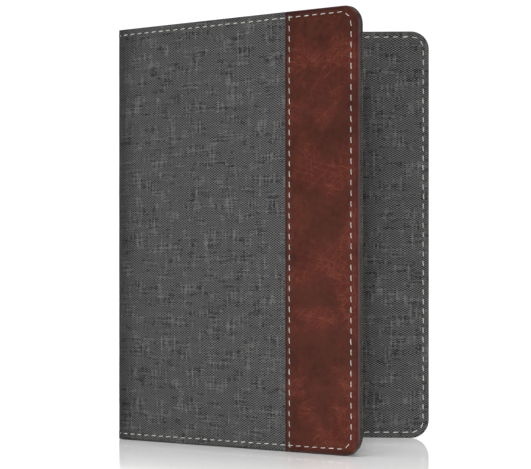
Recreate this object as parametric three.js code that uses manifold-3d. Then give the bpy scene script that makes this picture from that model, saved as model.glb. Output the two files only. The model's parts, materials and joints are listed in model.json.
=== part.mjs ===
// A folio tablet case: two stiff covers joined by a spine, standing on its short edges with the covers
// open. The holder cover carries a leather strip outside and a moulded tray for the tablet inside.
// The screen cover is a plain lined board. Every layer of each cover is its own closed solid.
//
// Part frame, millimetres: +Z is up, the holder cover lies in the XZ plane with its outer face
// towards -Y and its free edge towards +X, and the origin is the middle of its bottom edge.
import * as THREE from "three";
import { mergeVertices } from "three/addons/utils/BufferGeometryUtils.js";
import Module from "manifold-3d";

// Covers
const COVER_HEIGHT = 254;
const COVER_LENGTH = 187; // from the fold axis to the free edge
const COVER_THICKNESS = 4.3;
const CORNER_RADIUS = 11.3;

// Spine and folds
const SPINE_WIDTH = 15; // from one fold axis to the other
const SPINE_THICKNESS = 3;
const FOLD_ANGLE = 108.5; // degrees between a cover and the spine, measured inside the case
const COVER_RELIEF = 5; // soft length between a fold axis and the first layer of a cover
const SPINE_RELIEF = 2.6; // and the first layer of the spine

// Layers, measured as a depth from the outer face inwards
const SKIN = 0.8;
const OUTER_TURN_IN = 1.2; // the outer skin is turned over the edge down to this depth
const PARTING_GAP = 0.15; // between the turned outer skin and the lining's edge
const LAYER_GAP = 0.1; // between two layers that lie on each other
const RIM_WALL = 0.8;

// Leather strip along the holder cover's free edge
const STRIP_WIDTH = 53.3;
const STRIP_PROUD = 0.3;
const STRIP_GAP = 0.2;
const STRIP_SEAM_INSET = 3.1;

// Seams, each drawn as one flat run of thread sunk in a groove
const THREAD_WIDTH = 0.8;
const THREAD_DEPTH = 0.4;
const THREAD_SUNK = 0.02;
const GROOVE_CLEARANCE = 0.12;
const SEAM_INSET = 3.6; // from the top and bottom edges
const HOLDER_SEAM_FREE_INSET = 5.6; // from the holder cover's free edge
const SCREEN_SEAM_FREE_INSET = 3.6;

// Tablet that the tray is made for, and the tray around it
const TABLET = { width: 169.5, height: 240, thickness: 7.5, corner: 8.5 };
const TABLET_CLEARANCE = 0.3;
const TRAY_WALL = 1.3;
const TRAY_FLOOR = 0.9;
const TRAY_FROM_FOLD = COVER_RELIEF; // from the fold axis to the tray's wall
const TRAY_SIDE_HEIGHT = 6; // wall between the corner grips, above the tray's underside
const LIP = { reach: 1.5, thickness: 0.55 };
const GRIP = { length: 30, ramp: 7 }; // a corner grip's full-height wall, then its sloping end
const TAPE = { width: 142, height: 12, thickness: 0.3, fromTrayEnd: 16 };
const PAD = { thickness: 0.4, inset: 5, corner: 5 };

// Magnets that keep the case shut
const MAGNET = { radius: 5, thickness: 2, fromFreeEdge: 15, fromEnds: 62, clearance: 0.3 };

const ARC_SEGMENTS = 8;
const DISC_SEGMENTS = 28;
const BEYOND = 5; // how far a cutting solid runs past what it cuts

const wasm = await Module();
wasm.setup();

// ---------------------------------------------------------------- solids

// Turns a closed geometry into a manifold-3d solid, which needs shared vertices.
function toSolid(geometry) {
  const bare = geometry.index ? geometry.toNonIndexed() : geometry.clone();
  bare.deleteAttribute("normal");
  bare.deleteAttribute("uv");
  const merged = mergeVertices(bare, 1e-4);
  return new wasm.Manifold(
    new wasm.Mesh({
      numProp: 3,
      vertProperties: merged.attributes.position.array,
      triVerts: new Uint32Array(merged.index.array),
    }),
  );
}

function toGeometry(solid) {
  const mesh = solid.getMesh();
  const geometry = new THREE.BufferGeometry();
  geometry.setAttribute("position", new THREE.BufferAttribute(mesh.vertProperties, 3));
  geometry.setIndex(new THREE.BufferAttribute(mesh.triVerts, 1));
  geometry.computeVertexNormals();
  return geometry;
}

function extrude(shape, depth) {
  return new THREE.ExtrudeGeometry(shape, {
    depth,
    bevelEnabled: false,
    curveSegments: ARC_SEGMENTS,
  });
}

// A flat layer: the shape's x runs away from the fold, its y runs up, and it fills the depths
// from `from` to `to`, where depth grows from the outer face towards the inside of the case.
function layer(shape, from, to) {
  const geometry = extrude(shape, to - from);
  geometry.rotateX(Math.PI / 2);
  geometry.translate(0, to, 0);
  return toSolid(geometry);
}

// A prism whose section is drawn in x and depth, running up from z = from to z = to.
function prismAlongZ(shape, from, to) {
  const geometry = extrude(shape, to - from);
  geometry.translate(0, 0, from);
  return toSolid(geometry);
}

// A prism whose section is drawn in height and depth, running from x = from to x = to.
function prismAlongX(shape, from, to) {
  const geometry = extrude(shape, to - from);
  geometry.rotateY(-Math.PI / 2);
  geometry.translate(to, 0, 0);
  return toSolid(geometry);
}

// ---------------------------------------------------------------- outlines

function rectangle(x0, y0, x1, y1) {
  const shape = new THREE.Shape();
  shape.moveTo(x0, y0);
  shape.lineTo(x1, y0);
  shape.lineTo(x1, y1);
  shape.lineTo(x0, y1);
  shape.closePath();
  return shape;
}

function roundedRectangle(x0, y0, x1, y1, radius) {
  const shape = new THREE.Shape();
  shape.moveTo(x0 + radius, y0);
  shape.lineTo(x1 - radius, y0);
  shape.absarc(x1 - radius, y0 + radius, radius, -Math.PI / 2, 0, false);
  shape.lineTo(x1, y1 - radius);
  shape.absarc(x1 - radius, y1 - radius, radius, 0, Math.PI / 2, false);
  shape.lineTo(x0 + radius, y1);
  shape.absarc(x0 + radius, y1 - radius, radius, Math.PI / 2, Math.PI, false);
  shape.lineTo(x0, y0 + radius);
  shape.absarc(x0 + radius, y0 + radius, radius, Math.PI, 1.5 * Math.PI, false);
  return shape;
}

// A cover's outline from x = start to its rounded free corners, drawn in from the edges by `inset`.
function coverOutline(start, inset = 0) {
  const right = COVER_LENGTH - inset;
  const top = COVER_HEIGHT - inset;
  const radius = CORNER_RADIUS - inset;
  const shape = new THREE.Shape();
  shape.moveTo(start, inset);
  shape.lineTo(right - radius, inset);
  shape.absarc(right - radius, inset + radius, radius, -Math.PI / 2, 0, false);
  shape.lineTo(right, top - radius);
  shape.absarc(right - radius, top - radius, radius, 0, Math.PI / 2, false);
  shape.lineTo(start, top);
  shape.closePath();
  return shape;
}

// A U-shaped band of thread round three edges, open at the fold. `spread` widens it on each side.
function seamBand(start, freeInset, spread = 0) {
  const half = THREAD_WIDTH / 2 + spread;
  const middle = CORNER_RADIUS - SEAM_INSET;
  const centreX = COVER_LENGTH - freeInset - middle;
  const lowY = SEAM_INSET + middle;
  const highY = COVER_HEIGHT - lowY;
  const wide = middle + half;
  const tight = middle - half;
  const shape = new THREE.Shape();
  shape.moveTo(start, lowY - wide);
  shape.lineTo(centreX, lowY - wide);
  shape.absarc(centreX, lowY, wide, -Math.PI / 2, 0, false);
  shape.lineTo(centreX + wide, highY);
  shape.absarc(centreX, highY, wide, 0, Math.PI / 2, false);
  shape.lineTo(start, highY + wide);
  shape.lineTo(start, highY + tight);
  shape.lineTo(centreX, highY + tight);
  shape.absarc(centreX, highY, tight, Math.PI / 2, 0, true);
  shape.lineTo(centreX + tight, lowY);
  shape.absarc(centreX, lowY, tight, 0, -Math.PI / 2, true);
  shape.lineTo(start, lowY - tight);
  shape.closePath();
  return shape;
}

// ---------------------------------------------------------------- layers of a cover

const PLATE_START = COVER_RELIEF;
const STRIP_START = COVER_LENGTH - STRIP_WIDTH;
const LINING_EDGE = OUTER_TURN_IN + PARTING_GAP;

// The depths that a thread and its groove take up under the outer face and under the inner face.
function outerThread(spread = 0) {
  return [THREAD_SUNK, THREAD_SUNK + THREAD_DEPTH + spread];
}

function innerThread(thickness, spread = 0) {
  return [thickness - THREAD_SUNK - THREAD_DEPTH - spread, thickness - THREAD_SUNK];
}

// Outer skin with its turned-in edge, hollow behind. The hollow is open at both x ends.
function outerPan(shape, hollow, proud = 0) {
  return layer(shape, -proud, OUTER_TURN_IN).subtract(layer(hollow, SKIN, OUTER_TURN_IN + BEYOND));
}

// Inner lining whose deep edge covers the side of the board.
function innerPan(shape, hollow, thickness) {
  return layer(shape, LINING_EDGE, thickness).subtract(
    layer(hollow, LINING_EDGE - BEYOND, thickness - SKIN),
  );
}

function outerGroove(freeInset) {
  const [, bottom] = outerThread(GROOVE_CLEARANCE);
  const band = seamBand(PLATE_START - BEYOND, freeInset, GROOVE_CLEARANCE);
  return layer(band, -STRIP_PROUD - BEYOND, bottom);
}

function innerGroove(freeInset) {
  const [bottom] = innerThread(COVER_THICKNESS, GROOVE_CLEARANCE);
  const band = seamBand(PLATE_START - BEYOND, freeInset, GROOVE_CLEARANCE);
  return layer(band, bottom, COVER_THICKNESS + BEYOND);
}

function magnetHeights() {
  return [COVER_HEIGHT - MAGNET.fromEnds, MAGNET.fromEnds];
}

// A disc with its axis across the cover, centred in the board's thickness.
function magnetDisc(height, extraRadius, thickness) {
  const radius = MAGNET.radius + extraRadius;
  const disc = new THREE.CylinderGeometry(radius, radius, thickness, DISC_SEGMENTS);
  disc.translate(COVER_LENGTH - MAGNET.fromFreeEdge, COVER_THICKNESS / 2, height);
  return toSolid(disc);
}

function board() {
  const inset = RIM_WALL + 2 * LAYER_GAP;
  const from = SKIN + LAYER_GAP;
  const to = COVER_THICKNESS - SKIN - LAYER_GAP;
  let solid = layer(coverOutline(PLATE_START, inset), from, to);
  for (const height of magnetHeights()) {
    solid = solid.subtract(magnetDisc(height, MAGNET.clearance, COVER_THICKNESS));
  }
  return solid;
}

function coverLining(freeInset) {
  const hollow = coverOutline(PLATE_START - BEYOND, RIM_WALL);
  return innerPan(coverOutline(PLATE_START), hollow, COVER_THICKNESS).subtract(innerGroove(freeInset));
}

function coverSeam(freeInset, [from, to]) {
  return layer(seamBand(PLATE_START, freeInset), from, to);
}

// ---------------------------------------------------------------- holder cover

function holderFabric() {
  const end = STRIP_START - STRIP_GAP;
  const shape = rectangle(PLATE_START, 0, end, COVER_HEIGHT);
  const hollow = rectangle(PLATE_START - BEYOND, RIM_WALL, end + BEYOND, COVER_HEIGHT - RIM_WALL);
  return outerPan(shape, hollow).subtract(outerGroove(HOLDER_SEAM_FREE_INSET));
}

function stripSeamBox(spread, from, to) {
  const x = STRIP_START + STRIP_SEAM_INSET;
  const half = THREAD_WIDTH / 2 + spread;
  const end = SEAM_INSET + THREAD_WIDTH - spread; // stops short of the edge seam that it meets
  return layer(rectangle(x - half, end, x + half, COVER_HEIGHT - end), from, to);
}

function leatherStrip() {
  const hollow = coverOutline(STRIP_START - BEYOND, RIM_WALL);
  const [, bottom] = outerThread(GROOVE_CLEARANCE);
  return outerPan(coverOutline(STRIP_START), hollow, STRIP_PROUD)
    .subtract(outerGroove(HOLDER_SEAM_FREE_INSET))
    .subtract(stripSeamBox(GROOVE_CLEARANCE, -STRIP_PROUD - BEYOND, bottom));
}

// The edge seam steps up with the leather, so it lies just under both surfaces.
function holderOuterSeam() {
  const [from, to] = outerThread();
  const onLeather = layer(
    seamBand(STRIP_START, HOLDER_SEAM_FREE_INSET),
    from - STRIP_PROUD,
    to,
  );
  return coverSeam(HOLDER_SEAM_FREE_INSET, [from, to]).add(onLeather);
}

function stripSeam() {
  const [from, to] = outerThread();
  return stripSeamBox(0, from - STRIP_PROUD, to);
}

// ---------------------------------------------------------------- tray

// Depths from the holder cover's outer face, stacked on its inner face.
const TAPE_DEPTH = COVER_THICKNESS + LAYER_GAP;
const TRAY_BASE = TAPE_DEPTH + TAPE.thickness + LAYER_GAP;
const PAD_DEPTH = TRAY_BASE + TRAY_FLOOR + LAYER_GAP;
const TABLET_FRONT = PAD_DEPTH + PAD.thickness + TABLET.thickness + LAYER_GAP;
const TRAY_TOP = TABLET_FRONT + LIP.thickness;
const TRAY_SIDE_TOP = TRAY_BASE + TRAY_SIDE_HEIGHT;

const BAY = {
  left: TRAY_FROM_FOLD + TRAY_WALL,
  right: TRAY_FROM_FOLD + TRAY_WALL + TABLET.width + 2 * TABLET_CLEARANCE,
  bottom: (COVER_HEIGHT - TABLET.height) / 2 - TABLET_CLEARANCE,
  top: (COVER_HEIGHT + TABLET.height) / 2 + TABLET_CLEARANCE,
};

// The bay's outline grown (or, below zero, shrunk) by `offset`.
function bayOutline(offset) {
  return roundedRectangle(
    BAY.left - offset,
    BAY.bottom - offset,
    BAY.right + offset,
    BAY.top + offset,
    TABLET.corner + TABLET_CLEARANCE + offset,
  );
}

// A cut-out in a wall: flat at `depth`, with sides that slope out to the open edge above.
function cutOut(centre, width, depth, slope) {
  const rise = TRAY_TOP + BEYOND - depth;
  const shape = new THREE.Shape();
  shape.moveTo(centre - width / 2, depth);
  shape.lineTo(centre + width / 2, depth);
  shape.lineTo(centre + width / 2 + slope * rise, depth + rise);
  shape.lineTo(centre - width / 2 - slope * rise, depth + rise);
  shape.closePath();
  return shape;
}

function lowerWallsBetweenGrips(solid) {
  const slope = GRIP.ramp / (TRAY_TOP - TRAY_SIDE_TOP);
  const inward = GRIP.length + GRIP.ramp - TRAY_WALL;
  const acrossX = cutOut(
    (BAY.left + BAY.right) / 2,
    BAY.right - BAY.left - 2 * inward,
    TRAY_SIDE_TOP,
    slope,
  );
  const alongZ = cutOut(
    (BAY.bottom + BAY.top) / 2,
    BAY.top - BAY.bottom - 2 * inward,
    TRAY_SIDE_TOP,
    slope,
  );
  return solid
    .subtract(prismAlongZ(acrossX, BAY.bottom - BEYOND, BAY.top + BEYOND))
    .subtract(prismAlongX(alongZ, BAY.left - BEYOND, BAY.right + BEYOND));
}

// Cut-outs for what the tablet has on its edges. The tablet's own top is at the case's bottom.
const PORT_SLOPE = 0.35;
const PORT_DEPTH = PAD_DEPTH + PAD.thickness + 0.6;
const MIDDLE_X = (BAY.left + BAY.right) / 2;
const PORTS_IN_TOP_WALL = [{ at: MIDDLE_X, width: 26 }];
const PORTS_IN_BOTTOM_WALL = [
  { at: BAY.left + 44, width: 16 },
  { at: BAY.right - 48, width: 20 },
];
const PORTS_IN_FREE_WALL = [{ at: BAY.bottom + 62, width: 42 }];
const SPEAKER = { fromMiddle: 33, length: 22, height: 2, depth: PORT_DEPTH + 0.9 };

function speakerSlot(side) {
  const centre = MIDDLE_X + side * SPEAKER.fromMiddle;
  return roundedRectangle(
    centre - SPEAKER.length / 2,
    SPEAKER.depth,
    centre + SPEAKER.length / 2,
    SPEAKER.depth + SPEAKER.height,
    SPEAKER.height / 2 - 0.01,
  );
}

function trayShell() {
  const bay = layer(bayOutline(0), TRAY_BASE + TRAY_FLOOR, TABLET_FRONT);
  const mouth = layer(bayOutline(-LIP.reach), TABLET_FRONT - BEYOND, TRAY_TOP + BEYOND);
  let solid = layer(bayOutline(TRAY_WALL), TRAY_BASE, TRAY_TOP).subtract(bay).subtract(mouth);
  solid = lowerWallsBetweenGrips(solid);
  const topWall = [BAY.top - BEYOND / 2, BAY.top + BEYOND];
  const bottomWall = [BAY.bottom - BEYOND, BAY.bottom + BEYOND / 2];
  const freeWall = [BAY.right - BEYOND / 2, BAY.right + BEYOND];
  for (const { at, width } of PORTS_IN_TOP_WALL) {
    solid = solid.subtract(prismAlongZ(cutOut(at, width, PORT_DEPTH, PORT_SLOPE), ...topWall));
  }
  for (const { at, width } of PORTS_IN_BOTTOM_WALL) {
    solid = solid.subtract(prismAlongZ(cutOut(at, width, PORT_DEPTH, PORT_SLOPE), ...bottomWall));
  }
  for (const { at, width } of PORTS_IN_FREE_WALL) {
    solid = solid.subtract(prismAlongX(cutOut(at, width, PORT_DEPTH, PORT_SLOPE), ...freeWall));
  }
  for (const side of [-1, 1]) {
    solid = solid.subtract(prismAlongZ(speakerSlot(side), ...topWall));
  }
  return solid;
}

function trayPad() {
  const shape = roundedRectangle(
    BAY.left + PAD.inset,
    BAY.bottom + PAD.inset,
    BAY.right - PAD.inset,
    BAY.top - PAD.inset,
    PAD.corner,
  );
  return layer(shape, PAD_DEPTH, PAD_DEPTH + PAD.thickness);
}

function trayTape(centreHeight) {
  const shape = rectangle(
    MIDDLE_X - TAPE.width / 2,
    centreHeight - TAPE.height / 2,
    MIDDLE_X + TAPE.width / 2,
    centreHeight + TAPE.height / 2,
  );
  return layer(shape, TAPE_DEPTH, TAPE_DEPTH + TAPE.thickness);
}

// ---------------------------------------------------------------- spine

const SPINE_START = SPINE_RELIEF;
const SPINE_END = SPINE_WIDTH - SPINE_RELIEF;

function spineOutline(inset = 0, beyond = 0) {
  return rectangle(SPINE_START - beyond, inset, SPINE_END + beyond, COVER_HEIGHT - inset);
}

function spineSeamBox(height, spread, [from, to]) {
  const half = THREAD_WIDTH / 2 + spread;
  const over = spread ? BEYOND : 0; // a groove runs out past both sides of the spine
  const shape = rectangle(SPINE_START - over, height - half, SPINE_END + over, height + half);
  return layer(shape, from, to);
}

const SPINE_SEAM_HEIGHTS = [COVER_HEIGHT - SEAM_INSET, SEAM_INSET];

function spineFabric() {
  const [, bottom] = outerThread(GROOVE_CLEARANCE);
  let solid = outerPan(spineOutline(), spineOutline(RIM_WALL, BEYOND));
  for (const height of SPINE_SEAM_HEIGHTS) {
    solid = solid.subtract(spineSeamBox(height, GROOVE_CLEARANCE, [-BEYOND, bottom]));
  }
  return solid;
}

function spineStiffener() {
  const shape = spineOutline(RIM_WALL + 2 * LAYER_GAP);
  return layer(shape, SKIN + LAYER_GAP, SPINE_THICKNESS - SKIN - LAYER_GAP);
}

function spineLining() {
  const [bottom] = innerThread(SPINE_THICKNESS, GROOVE_CLEARANCE);
  let solid = innerPan(spineOutline(), spineOutline(RIM_WALL, BEYOND), SPINE_THICKNESS);
  for (const height of SPINE_SEAM_HEIGHTS) {
    const cut = [bottom, SPINE_THICKNESS + BEYOND];
    solid = solid.subtract(spineSeamBox(height, GROOVE_CLEARANCE, cut));
  }
  return solid;
}

// ---------------------------------------------------------------- screen cover

function screenFabric() {
  const hollow = coverOutline(PLATE_START - BEYOND, RIM_WALL);
  return outerPan(coverOutline(PLATE_START), hollow).subtract(outerGroove(SCREEN_SEAM_FREE_INSET));
}

// ---------------------------------------------------------------- materials and assembly

const LOOKS = {
  fabric: { color: 0x50524f, roughness: 0.92, metalness: 0 },
  leather: { color: 0x5a3026, roughness: 0.55, metalness: 0 },
  lining: { color: 0x565855, roughness: 0.92, metalness: 0 },
  board: { color: 0x8c8a84, roughness: 0.95, metalness: 0 },
  thread: { color: 0xb9b3a8, roughness: 0.8, metalness: 0 },
  tray: { color: 0x1c1c1d, roughness: 0.5, metalness: 0 },
  pad: { color: 0x3a3b3d, roughness: 0.98, metalness: 0 },
  tape: { color: 0xe6e4dc, roughness: 0.7, metalness: 0 },
  magnet: { color: 0xb8bcc0, roughness: 0.3, metalness: 1 },
};

// Adds a solid to a group. Solids are drawn with depth from the outer face as y, so the group's
// middle plane is half the plate's thickness in.
function addPiece(group, name, solid, look, plateThickness) {
  const mesh = new THREE.Mesh(toGeometry(solid), new THREE.MeshStandardMaterial(LOOKS[look]));
  mesh.name = name;
  mesh.position.y = -plateThickness / 2;
  group.add(mesh);
}

function addMagnets(group, prefix) {
  for (const [index, place] of ["upper", "lower"].entries()) {
    const disc = magnetDisc(magnetHeights()[index], 0, MAGNET.thickness);
    addPiece(group, `${prefix}_magnet_${place}`, disc, "magnet", COVER_THICKNESS);
  }
}

function holderCover() {
  const group = new THREE.Group();
  const add = (name, solid, look) => addPiece(group, name, solid, look, COVER_THICKNESS);
  add("holder_fabric", holderFabric(), "fabric");
  add("leather_strip", leatherStrip(), "leather");
  add("holder_board", board(), "board");
  add("holder_lining", coverLining(HOLDER_SEAM_FREE_INSET), "lining");
  add("holder_outer_seam", holderOuterSeam(), "thread");
  add("holder_inner_seam", coverSeam(HOLDER_SEAM_FREE_INSET, innerThread(COVER_THICKNESS)), "thread");
  add("strip_seam", stripSeam(), "thread");
  addMagnets(group, "holder");
  add("tray_shell", trayShell(), "tray");
  add("tray_pad", trayPad(), "pad");
  add("tray_tape_upper", trayTape(BAY.top - TAPE.fromTrayEnd), "tape");
  add("tray_tape_lower", trayTape(BAY.bottom + TAPE.fromTrayEnd), "tape");
  return group;
}

function spine() {
  const group = new THREE.Group();
  const add = (name, solid, look) => addPiece(group, name, solid, look, SPINE_THICKNESS);
  add("spine_fabric", spineFabric(), "fabric");
  add("spine_stiffener", spineStiffener(), "board");
  add("spine_lining", spineLining(), "lining");
  for (const [index, place] of ["upper", "lower"].entries()) {
    const height = SPINE_SEAM_HEIGHTS[index];
    const outer = spineSeamBox(height, 0, outerThread());
    const inner = spineSeamBox(height, 0, innerThread(SPINE_THICKNESS));
    add(`spine_outer_seam_${place}`, outer, "thread");
    add(`spine_inner_seam_${place}`, inner, "thread");
  }
  return group;
}

function screenCover() {
  const group = new THREE.Group();
  const add = (name, solid, look) => addPiece(group, name, solid, look, COVER_THICKNESS);
  add("screen_fabric", screenFabric(), "fabric");
  add("screen_board", board(), "board");
  add("screen_lining", coverLining(SCREEN_SEAM_FREE_INSET), "lining");
  add("screen_outer_seam", coverSeam(SCREEN_SEAM_FREE_INSET, outerThread()), "thread");
  add("screen_inner_seam", coverSeam(SCREEN_SEAM_FREE_INSET, innerThread(COVER_THICKNESS)), "thread");
  addMagnets(group, "screen");
  return group;
}

// Each cover or spine is drawn from its fold along +X with its inside towards +Y. The spine turns
// away from the holder by the fold angle, and the screen cover turns back from the spine by the
// same angle. Both are mirrored in Y, so that their insides face the holder's.
const foldAngle = THREE.MathUtils.degToRad(FOLD_ANGLE);
const holderFold = new THREE.Vector3(-COVER_LENGTH / 2, 0, 0);
const screenFold = new THREE.Vector3(SPINE_WIDTH, 0, 0)
  .applyAxisAngle(new THREE.Vector3(0, 0, 1), foldAngle)
  .add(holderFold);

const holder = holderCover();
holder.position.copy(holderFold);

const back = spine();
back.position.copy(holderFold);
back.rotation.z = foldAngle;
back.scale.y = -1;

const screen = screenCover();
screen.position.copy(screenFold);
screen.rotation.z = 2 * foldAngle - Math.PI;
screen.scale.y = -1;

const tabletCase = new THREE.Group();
tabletCase.add(holder, back, screen);
export default tabletCase;
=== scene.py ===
"""A folio tablet case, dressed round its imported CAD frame: charcoal woven covers with turned edges,
a distressed leather strip, sewn seams, and a moulded tray with a microfibre liner.

Everything is in metres in the frame's own axes. Cloth and leather are drawn as skins over the covers:
a skin is laid out flat, as (run, z), where run is the distance from the fold axis along the cloth and
z is the height, and is then wrapped along its plan curve round the fold to the middle of the spine."""

import json
import math

import bmesh
import bpy
import numpy as np
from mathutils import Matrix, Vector


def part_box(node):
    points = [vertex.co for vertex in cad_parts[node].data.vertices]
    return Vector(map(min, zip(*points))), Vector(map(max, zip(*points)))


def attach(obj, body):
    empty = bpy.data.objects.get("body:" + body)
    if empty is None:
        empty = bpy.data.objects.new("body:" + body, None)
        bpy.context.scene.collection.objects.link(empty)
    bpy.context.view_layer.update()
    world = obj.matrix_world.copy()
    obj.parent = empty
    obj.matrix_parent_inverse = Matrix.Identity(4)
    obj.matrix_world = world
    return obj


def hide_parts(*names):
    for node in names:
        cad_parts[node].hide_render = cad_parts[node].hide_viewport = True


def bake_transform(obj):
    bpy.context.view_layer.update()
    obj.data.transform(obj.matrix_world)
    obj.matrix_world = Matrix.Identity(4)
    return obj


MM = 0.001
UV_UNIT = 0.1  # metres of cloth to one unit of UV

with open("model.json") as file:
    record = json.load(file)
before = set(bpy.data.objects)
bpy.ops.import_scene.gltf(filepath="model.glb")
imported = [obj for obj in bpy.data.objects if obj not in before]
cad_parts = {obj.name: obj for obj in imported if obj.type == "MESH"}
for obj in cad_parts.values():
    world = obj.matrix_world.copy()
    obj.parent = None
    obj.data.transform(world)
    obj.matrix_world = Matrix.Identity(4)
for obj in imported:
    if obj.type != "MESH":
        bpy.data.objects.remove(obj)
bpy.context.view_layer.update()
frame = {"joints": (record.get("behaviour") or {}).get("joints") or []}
rng = np.random.default_rng(7)

# ------------------------------------------------------------------ sizes from the frame

joints = {joint["name"]: joint for joint in frame["joints"]}
HOLDER_FOLD = np.array(joints["holder_fold"]["pos_m"][:2])
SCREEN_FOLD = np.array(joints["screen_fold"]["pos_m"][:2])
SPINE_WIDTH = float(np.linalg.norm(SCREEN_FOLD - HOLDER_FOLD))

lining_low, lining_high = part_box("holder_lining")
strip_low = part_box("leather_strip")[0]
tray_low, tray_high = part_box("tray_shell")
liner_low, liner_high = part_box("tray_pad")

HEIGHT = lining_high.z
LENGTH = lining_high.x - HOLDER_FOLD[0]  # from the fold axis to a cover's free edge
COVER_HALF = lining_high.y  # half a cover's thickness
COVER_START = lining_low.x - HOLDER_FOLD[0]  # the stiff part of a cover starts here
STRIP_START = strip_low.x - HOLDER_FOLD[0]
STRIP_PROUD = -strip_low.y - COVER_HALF

# ------------------------------------------------------------------ other sizes

SPINE_HALF = 1.5 * MM
SPINE_START = 2.6 * MM
CORNER_RADIUS = 11.3 * MM
SKIN = 0.45 * MM
TURN_IN = 1.2 * MM  # the outer skin's edge ends at this depth
LINING_EDGE = 1.36 * MM  # and the lining's edge ends here, measured from the same outer face

OUTER_ROUND = (1.35 * MM, 0.95 * MM)  # how far in from the edge, and how deep, an edge rounds over
LINING_ROUND = (1.5 * MM, 1.25 * MM)

PITCH = 5.95 * MM  # one stitch and the gap after it
STITCH_SHARE = 0.62  # of the pitch that shows as thread
SEAM_INSET = 3.6 * MM
HOLDER_SEAM_FREE_INSET = 5.6 * MM
SCREEN_SEAM_FREE_INSET = 3.6 * MM
STRIP_SEAM_INSET = 3.1 * MM


def smooth_step(low, high, value):
    t = np.clip((value - low) / (high - low), 0, 1)
    return t * t * (3 - 2 * t)


def unit(vector):
    return vector / np.linalg.norm(vector)


# ------------------------------------------------------------------ plates in plan


class Plate:
    """A cover or the spine seen from above: its fold, the way it runs, and the way inwards."""

    def __init__(self, fold, along, inward, half):
        self.fold, self.along, self.inward, self.half = fold, along, inward, half

    def at(self, run, depth):
        """The plan point at `run` from the fold and `depth` below the outer face."""
        return self.fold + self.along * run + self.inward * (depth - self.half)


spine_along = unit(SCREEN_FOLD - HOLDER_FOLD)
fold_angle = math.atan2(spine_along[1], spine_along[0])
screen_angle = 2 * fold_angle - math.pi  # the screen cover turns back from the spine by the same angle
screen_along = np.array([math.cos(screen_angle), math.sin(screen_angle)])

HOLDER = Plate(HOLDER_FOLD, np.array([1.0, 0.0]), np.array([0.0, 1.0]), COVER_HALF)
SCREEN = Plate(SCREEN_FOLD, screen_along, np.array([screen_along[1], -screen_along[0]]), COVER_HALF)


def spine_from(fold, along):
    """The spine as a plate that starts at `fold`, so that either cover can carry on into it."""
    inward = np.array([spine_along[1], -spine_along[0]])
    return Plate(fold, along, inward, SPINE_HALF)


class SkinPath:
    """The plan curve of one face of the cloth, from the middle of the spine out along a cover.

    `run` is the distance from the fold axis on the stiff part of the cover. Nearer the fold it is
    counted back along the curve, so it becomes negative on the spine."""

    FOLD_STEPS = 26

    def __init__(self, cover, spine, inside):
        self.cover, self.inside = cover, inside
        self.face = 2 * cover.half if inside else 0.0  # the face's depth
        self.into = -cover.inward if inside else cover.inward  # from the face into the board
        spine_face = 2 * spine.half if inside else 0.0
        start = cover.at(COVER_START, self.face)
        end = spine.at(SPINE_START, spine_face)
        self.blend_start, self.blend_end = start, end
        if inside:
            points = self.valley(cover, spine, start, end)
        else:
            points = self.hermite(start, -cover.along, end, spine.along, 1.25)
        middle = spine.at(SPINE_WIDTH / 2, spine_face)
        flat = [end + (middle - end) * t for t in np.linspace(0, 1, 6)[1:]]
        self.points = np.array(points + flat)
        steps = np.linalg.norm(np.diff(self.points, axis=0), axis=1)
        self.runs = COVER_START - np.concatenate([[0], np.cumsum(steps)])
        tangents = np.gradient(self.points, axis=0)
        tangents /= np.linalg.norm(tangents, axis=1)[:, None]
        side = np.stack([-tangents[:, 1], tangents[:, 0]], axis=1)
        if side[0] @ self.into < 0:
            side = -side
        side[0] = self.into
        self.normals = side
        self.spine_run = float(self.runs[-1])

    def hermite(self, start, out, end, onward, pull):
        """Points of a curve that leaves `start` along `out` and reaches `end` along `onward`."""
        reach = np.linalg.norm(end - start) * pull
        points = []
        for t in np.linspace(0, 1, self.FOLD_STEPS):
            a, b = 2 * t**3 - 3 * t**2 + 1, t**3 - 2 * t**2 + t
            c, d = -2 * t**3 + 3 * t**2, t**3 - t**2
            points.append(a * start + b * reach * out + c * end + d * reach * onward)
        return points

    def valley(self, cover, spine, start, end):
        """The lining dips into the fold, where it is glued to the back of the outer cloth."""
        outward = -unit(cover.inward + spine.inward)
        bottom = cover.fold + outward * 0.5 * MM
        across = unit(end - start)
        first = self.hermite(start, -cover.along, bottom, across, 0.9)
        second = self.hermite(bottom, across, end, spine.along, 0.9)
        return first + second[1:]

    def room(self, run):
        """How much of the whole thickness is there at each run, as a share of a cover's."""
        if not self.inside:
            return np.ones_like(run)
        deepest, spine = self.runs[self.FOLD_STEPS - 1], self.runs[2 * self.FOLD_STEPS - 2]
        stops = [self.spine_run, spine, deepest, COVER_START]
        return np.interp(run, stops, [0.5, 0.5, 0.12, 1.0])

    def locate(self, run):
        """(plan point on the face, direction into the board) at each run."""
        run = np.asarray(run, float)
        flat = self.cover.fold + np.outer(run, self.cover.along)
        flat = flat + self.cover.inward * (self.face - self.cover.half)
        back = run[:, None] < COVER_START
        order = slice(None, None, -1)
        x = np.interp(run, self.runs[order], self.points[order, 0])
        y = np.interp(run, self.runs[order], self.points[order, 1])
        nx = np.interp(run, self.runs[order], self.normals[order, 0])
        ny = np.interp(run, self.runs[order], self.normals[order, 1])
        normal = np.stack([nx, ny], axis=1)
        normal /= np.linalg.norm(normal, axis=1)[:, None]
        point = np.where(back, np.stack([x, y], axis=1), flat)
        return point, np.where(back, normal, self.into)

    def place(self, run, z, depth):
        """Points of the frame, for cloth coordinates and a depth below this face."""
        point, into = self.locate(run)
        xy = point + into * np.asarray(depth, float)[:, None]
        return np.column_stack([xy, z])


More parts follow.
